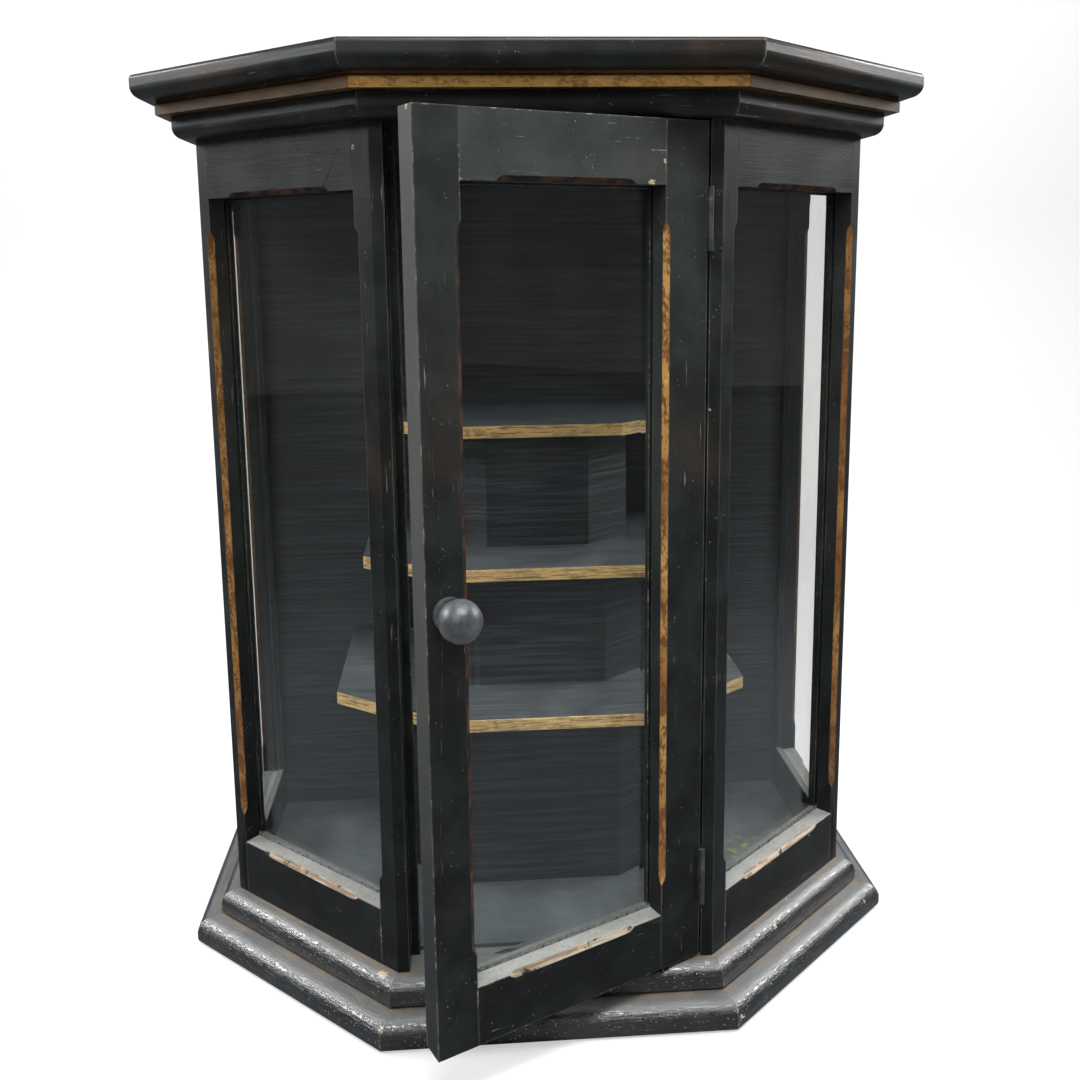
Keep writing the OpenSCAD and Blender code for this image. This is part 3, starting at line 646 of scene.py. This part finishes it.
def glass(name, haze):
    """A clear pane under a thin, smeared film of dust, thickest along its foot. Lamps and bounced
    light go straight through it."""
    tree = new_material(name)
    place, _ = face_space(tree, "case")
    clear = tree.node(
        "ShaderNodeBsdfPrincipled",
        {
            "Base Color": PANE,
            "Roughness": 0.0,
            "IOR": PANE_IOR,
            "Transmission Weight": 1.0,
        },
    )
    dusty = tree.node("ShaderNodeBsdfPrincipled", {"Base Color": PANE_DUST, "Roughness": 1.0})
    smear = tree.noise(place, 18, 6, 0.7, stretch=(1, 1, 0.5), twist=1.5)
    film = tree.times(tree.ramp(smear, 0.35, 0.85), haze)
    foot = tree.ramp(tree.split(place)[2], *(light_z0 + above for above in PANE_FOOT))
    settled = tree.times(foot, tree.ramp(tree.noise(place, 240, 4, 0.7), 0.2, 0.6))
    film = tree.maths("MAXIMUM", film, tree.times(settled, 0.75))
    coated = tree.node("ShaderNodeMixShader", {0: film, 1: clear.outputs[0], 2: dusty.outputs[0]})
    path = tree.node("ShaderNodeLightPath").outputs
    lamps = tree.maths("MAXIMUM", path["Is Shadow Ray"], path["Is Diffuse Ray"])
    through = tree.node("ShaderNodeBsdfTransparent", {"Color": PANE_SHADE})
    pane = tree.node(
        "ShaderNodeMixShader", {0: lamps, 1: coated.outputs[0], 2: through.outputs[0]}
    )
    tree.finish(pane.outputs[0])
    return tree.owner


# ---------- finishes by node ----------

WELD_GAP = 0.00002
ROUND_SEGMENTS = 2
ROUND_ANGLE = math.radians(30)  # arrises sharper than this are rounded

# Radius of the rounded arrises
POST_ROUND = 0.0007
RAIL_ROUND = 0.0006
STILE_ROUND = 0.0008
MOULDING_ROUND = 0.0008
SHELF_ROUND = 0.0009
FLOOR_ROUND = 0.0005


def dress(node, material, round_over=0.0):
    """Gives a CAD node its material, and rounds its arrises by a little."""
    piece = frame["nodes"][node]
    piece.data.materials.clear()
    piece.data.materials.append(material)
    if round_over:
        weld = piece.modifiers.new("weld", "WELD")
        weld.merge_threshold = WELD_GAP
        bevel = piece.modifiers.new("round", "BEVEL")
        bevel.width = round_over
        bevel.segments = ROUND_SEGMENTS
        bevel.limit_method = "ANGLE"
        bevel.angle_limit = ROUND_ANGLE
        bevel.harden_normals = False


# Ends of the members along their faces, and how far some stand out from them
cant_x0, cant_x1 = FRONT_POST_W, cant_len - CORNER_POST_W
side_x0, side_x1 = CORNER_POST_SIDE_W, side_light_y1 - corner_y
lock_x = door_extent("door_lock_stile")[0] - door_pivot.x
door_x0 = door_extent("door_lock_stile")[1] - door_pivot.x
door_x1 = door_extent("door_hinge_stile")[0] - door_pivot.x
door_face = min(door_shut(v.co).y for v in frame["nodes"]["door_lock_stile"].data.vertices)
door_face -= door_pivot.y
base_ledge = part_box("base_upper_mouldings")[0][1] - front_y
base_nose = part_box("base_lower_front")[0][1] - front_y
nose_mitre = base_nose * math.tan(cant_angle / 2)
nose_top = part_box("base_lower_front")[1][2]
ledge_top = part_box("base_upper_mouldings")[1][2]


def spot(face, along, out, up, radius):
    """A knock of that radius, from its place in a face's frame."""
    origin, angle = FACES[face]
    point = origin + Matrix.Rotation(angle, 3, "Z") @ Vector((along, out, up))
    return (*point, radius)


# Chips and knocks on some of the members, placed one by one from their ends and edges
KNOCKS = {
    "base": (
        spot("cant_right", nose_mitre + 0.004, base_nose, nose_top / 2 + 0.001, 0.007),
        spot("cant_right", 0.079, base_ledge + 0.003, ledge_top - 0.004, 0.005),
        spot("cant_right", 0.118, -0.003, ledge_top, 0.004),
        spot("cant_right", -0.011, -0.003, ledge_top - 0.001, 0.004),
        spot("cant_left", -0.010, -0.008, ledge_top, 0.010),
        spot("cant_left", -nose_mitre - 0.002, base_nose + 0.004, nose_top - 0.004, 0.005),
        spot("cant_right", cant_len - 0.009, base_nose + 0.002, nose_top - 0.005, 0.005),
    ),
    "cant_rail_bottom_right": (
        spot("cant_right", cant_x1 - 0.042, 0.0, light_z0 - 0.006, 0.004),
        spot("cant_right", cant_x1 - 0.038, -0.001, light_z0, 0.005),
    ),
    "door_top_rail": (
        spot("door", door_x1, door_face, light_z1 + 0.018, 0.005),
        spot("door", door_x1 - 0.013, door_face, light_z1 + 0.001, 0.005),
    ),
    "door_lock_stile": (
        spot("door", lock_x, door_face, light_z1 - 0.025, 0.003),
        spot("door", door_x0 + 0.001, door_face, light_z1 + 0.022, 0.004),
        spot("door", lock_x - 0.001, door_face + 0.007, light_z1 + 0.049, 0.006),
    ),
    "front_post_left": (spot("cant_left", 0.001 - cant_x0, 0.0, light_z1 + 0.032, 0.004),),
}


def paint(node, face, round_over, **look):
    """Dresses a member in black paint of its own, with the knocks listed for it."""
    dress(node, ebony(node, face, spots=KNOCKS.get(node, ()), **look), round_over)


def upright(finish, edge):
    """The stopped chamfer of a post or stile, for ebony: edge is its x in the face's frame."""
    return (finish, "x", edge, light_z0 + CHAMFER_STOP, light_z1 - CHAMFER_STOP)


def level(finish, edge, lo, hi):
    """The stopped chamfer of a rail, for ebony: edge is its z, and it runs from lo to hi."""
    return (finish, "z", edge, lo + CHAMFER_STOP, hi - CHAMFER_STOP)


# Top rails run along x and get a weaker painted reflection at the top
TOP_RAIL = {"grain": "x", "fade": 0.3}
BOTTOM_RAIL = {"grain": "x", "wear": 0.5, "dust": 0.95}

for side, way in (("left", -1), ("right", 1)):
    cant, flank = "cant_" + side, "side_" + side
    paint("corner_post_" + side, cant, POST_ROUND, chamfers=[upright("dim gold", way * cant_x1)])
    paint(
        "front_post_" + side,
        cant,
        POST_ROUND,
        fade=0.2,
        chamfers=[upright("dull", way * cant_x0)],
    )
    paint("back_post_" + side, flank, POST_ROUND, chamfers=[upright("dull", way * side_x1)])
    for rail, face, ends in (
        ("cant_rail_", cant, (cant_x0, cant_x1)),
        ("side_rail_", flank, (side_x0, side_x1)),
    ):
        lo, hi = sorted(way * end for end in ends)
        head, sill = level("red", light_z1, lo, hi), level("sill", light_z0, lo, hi)
        paint(rail + "top_" + side, face, RAIL_ROUND, chamfers=[head], **TOP_RAIL)
        paint(rail + "bottom_" + side, face, RAIL_ROUND, chamfers=[sill], **BOTTOM_RAIL)

# The lock stile's left face gets a painted grey glare
paint(
    "door_lock_stile",
    "door",
    STILE_ROUND,
    wear=0.75,
    chamfers=[upright("red", door_x0)],
    edge_grey=rgb(76, 77, 76),
)
paint("door_hinge_stile", "door", STILE_ROUND, chamfers=[upright("gold", door_x1)])
paint(
    "door_top_rail",
    "door",
    RAIL_ROUND,
    grain="x",
    wear=0.7,
    fade=1.0,
    scratched=0.9,
    chamfers=[level("red", light_z1, door_x0, door_x1)],
)
paint(
    "door_bottom_rail",
    "door",
    RAIL_ROUND,
    chamfers=[level("sill", light_z0, door_x0, door_x1)],
    **BOTTOM_RAIL,
)
paint("door_beads", "door", STILE_ROUND, wear=0.6, dust=0.4, fade=0.2)

base_paint = ebony(
    "case_paint",
    "moulding",
    grain="x",
    wear=0.65,
    dust=0.55,
    gloss=0.2,
    shine=0.9,
    powder=DUST_DARK,
    matt=0.55,
    corners=(0.0, base_ledge),
    clean=0.36,
    relief=0.0005,
    pits=0.0002,
    spots=KNOCKS["base"],
)
cornice_paint = ebony(
    "cornice_paint", "moulding", grain="x", wear=0.4, dust=0.35, fade=0.2, shine=0.2
)
bead_paint = ebony("bead_paint", "moulding", grain="x", wear=0.5, dust=0.4, fade=0.2)
shelf_paint = stand_boards("shelf_boards", True)
riser_paint = stand_boards("riser_boards", False)
case_glass, door_glass = (glass(name, haze=0.012) for name in ("case_glass", "door_glass"))
hinge_paint = painted_iron("hinge_paint", 0.9, rgb(38, 40, 42), rgb(66, 68, 72))
knob_paint = painted_iron("knob_paint", 0.2, rgb(56, 58, 62), rgb(88, 90, 94))

# Material, radius of the rounded arrises and the nodes that share them
SHARED = (
    (
        base_paint,
        0.0,
        (
            "base_lower_front",
            "base_lower_cant_left",
            "base_lower_cant_right",
            "base_lower_sides",
            "base_upper_mouldings",
            "base_board",
        ),
    ),
    (
        cornice_paint,
        MOULDING_ROUND,
        (
            "bed_mouldings",
            "top_moulding_front",
            "top_moulding_cant_left",
            "top_moulding_cant_right",
            "top_moulding_sides",
        ),
    ),
    (cornice_paint, 0.0, ("top_board", "ceiling_board")),
    (bead_paint, MOULDING_ROUND, ("cant_beads", "side_beads")),
    (gilt_band(), 0.0, ("gilt_band",)),
    (raw_wood("cornice_core", 0.5), 0.0, ("cornice_board",)),
    (raw_wood("plinth_wood", 0.8), 0.0, ("plinth_board",)),
    (cabinet_floor(), FLOOR_ROUND, ("floor_board",)),
    (back_boards(), 0.0, ("back_boards",)),
    (shelf_paint, SHELF_ROUND, ("shelf_bottom", "shelf_middle", "shelf_top")),
    (riser_paint, 0.0, ("riser_lower", "riser_middle", "riser_upper")),
    (
        case_glass,
        0.0,
        ("cant_glass_left", "cant_glass_right", "side_glass_left", "side_glass_right"),
    ),
    (door_glass, 0.0, ("door_glass",)),
    (
        hinge_paint,
        0.0,
        (
            "hinge_post_leaf_top",
            "hinge_post_leaf_bottom",
            "hinge_door_leaf_top",
            "hinge_door_leaf_bottom",
            "hinge_pins",
            "hinge_post_screws",
            "hinge_door_screws",
            "latch_tongue",
        ),
    ),
    (knob_paint, 0.0, ("door_knob",)),
)
for material, round_over, nodes in SHARED:
    for node in nodes:
        dress(node, material, round_over)

# ---------- studio ----------

STAGE_SIZE = 9.0
BACKDROP_Y = 2.6
BACKDROP_H = 4.0
BACKDROP_R = 0.8  # radius of the bend between floor and backdrop
BEND_STEP = 6  # degrees
SKY = (0.86, 0.87, 0.88, 1)
SKY_LIT, SKY_SEEN = 0.14, 1.05  # strength of the air as a lamp, and as it is looked at

# Place, aim, size, power in watts and how wide the beam opens in degrees
LAMPS = {
    "key_overhead": ((0.1, -0.85, 2.0), (0.0, -0.15, 0.2), (1.2, 0.4), 11, 80),
    "strip_left": ((-1.65, 0.25, 1.3), (-0.2, -0.1, 0.1), (1.1, 0.34), 8, 75),
    "strip_right": ((1.65, 0.4, 1.25), (0.2, -0.1, 0.1), (1.1, 0.34), 8, 75),
    "front_soft": ((-0.9, -2.3, 1.9), (0, 0, 0.55), (0.9, 0.9), 1.5, 40),
    "backdrop_wash": ((0, 0.7, 3.2), (0, 2.6, 1.0), (4.5, 0.8), 110, 120),
}


def seen_straight(tree, path):
    """1 for what the camera sees straight or through glass, 0 for what light or gloss reaches."""
    bounces = tree.maths("ADD", path["Glossy Depth"], path["Diffuse Depth"])
    return tree.maths("SUBTRACT", 1.0, bounces, clamp=True)


def paper(name, lit, seen, mirrored, glow):
    """Studio paper: lit is what gives back light, seen and the glow are what the camera looks at,
    and mirrored is what gloss shows."""
    tree = new_material(name)
    path = tree.node("ShaderNodeLightPath").outputs
    straight = seen_straight(tree, path)
    reflected = tree.maths("MINIMUM", path["Glossy Depth"], 1.0)
    colour = tree.mix(reflected, tree.mix(straight, lit, seen), mirrored)
    material = tree.shade(
        Base_Color=colour,
        Roughness=0.9,
        Emission_Color=(1.0, 1.0, 1.0, 1.0),
        Emission_Strength=tree.times(straight, glow),
    )
    material.cycles.emission_sampling = "NONE"
    return material


def sweep(name, outline, half_width):
    """A sheet drawn across x from an outline of (y, z) points."""
    verts = [(x, y, z) for y, z in outline for x in (-half_width, half_width)]
    faces = [(2 * i, 2 * i + 1, 2 * i + 3, 2 * i + 2) for i in range(len(outline) - 1)]
    mesh = bpy.data.meshes.new(name)
    mesh.from_pydata(verts, [], faces)
    for face in mesh.polygons:
        face.use_smooth = True
    sheet = bpy.data.objects.new(name, mesh)
    bpy.context.scene.collection.objects.link(sheet)
    return sheet


def area_light(name, place, aim, size, power, spread):
    """A soft box of that size, whose beam opens by spread degrees."""
    lamp = bpy.data.lights.new(name, "AREA")
    lamp.shape = "RECTANGLE"
    lamp.size, lamp.size_y = size
    lamp.energy = power
    lamp.spread = math.radians(spread)
    holder = bpy.data.objects.new(name, lamp)
    holder.location = place
    holder.rotation_euler = (Vector(aim) - Vector(place)).to_track_quat("-Z", "Y").to_euler()
    bpy.context.scene.collection.objects.link(holder)


bend = [
    (
        BACKDROP_Y - BACKDROP_R + BACKDROP_R * math.sin(math.radians(a)),
        BACKDROP_R * (1 - math.cos(math.radians(a))),
    )
    for a in range(0, 91, BEND_STEP)
]
outline = [(-STAGE_SIZE / 2, 0.0), *bend, (BACKDROP_Y, BACKDROP_H)]
backdrop = sweep("studio_floor", outline, STAGE_SIZE / 2)
backdrop.data.materials.append(
    paper("studio_paper", rgb(226, 226, 225), rgb(160, 160, 160), rgb(100, 104, 109), 0.5)
)

for name, settings in LAMPS.items():
    area_light(name, *settings)

world = bpy.data.worlds.new("studio")
air = Tree(world)
straight = seen_straight(air, air.node("ShaderNodeLightPath").outputs)
sky = air.node(
    "ShaderNodeBackground", {"Color": SKY, "Strength": air.blend(straight, SKY_LIT, SKY_SEEN)}
)
air.node("ShaderNodeOutputWorld", {"Surface": sky.outputs[0]})
bpy.context.scene.world = world
bpy.context.scene.view_settings.view_transform = "Standard"

# ---------- camera ----------

CAMERA_AT = Vector((-0.0730, -1.0069, 0.6625))
YAW, PITCH, ROLL = (math.radians(a) for a in (3.870, -9.118, -0.721))
SENSOR_W = 36.0  # millimetres, like the focal length
FOCAL_LEN = 35.91
SHIFT_X, SHIFT_Y = 0.0071, -0.1078
NEAR_CLIP = 0.05

forward = Vector(
    (math.sin(YAW) * math.cos(PITCH), math.cos(YAW) * math.cos(PITCH), math.sin(PITCH))
)
level_right = Vector((math.cos(YAW), -math.sin(YAW), 0))
level_up = level_right.cross(forward)
right = level_right * math.cos(ROLL) + level_up * math.sin(ROLL)
up = level_up * math.cos(ROLL) - level_right * math.sin(ROLL)
pose = Matrix((right, up, -forward)).transposed().to_4x4()
pose.translation = CAMERA_AT

lens = bpy.data.cameras.new("camera")
lens.sensor_width = SENSOR_W
lens.lens = FOCAL_LEN
lens.shift_x = SHIFT_X
lens.shift_y = SHIFT_Y
lens.clip_start = NEAR_CLIP
camera = bpy.data.objects.new("camera", lens)
camera.matrix_world = pose
bpy.context.scene.collection.objects.link(camera)
bpy.context.scene.camera = camera
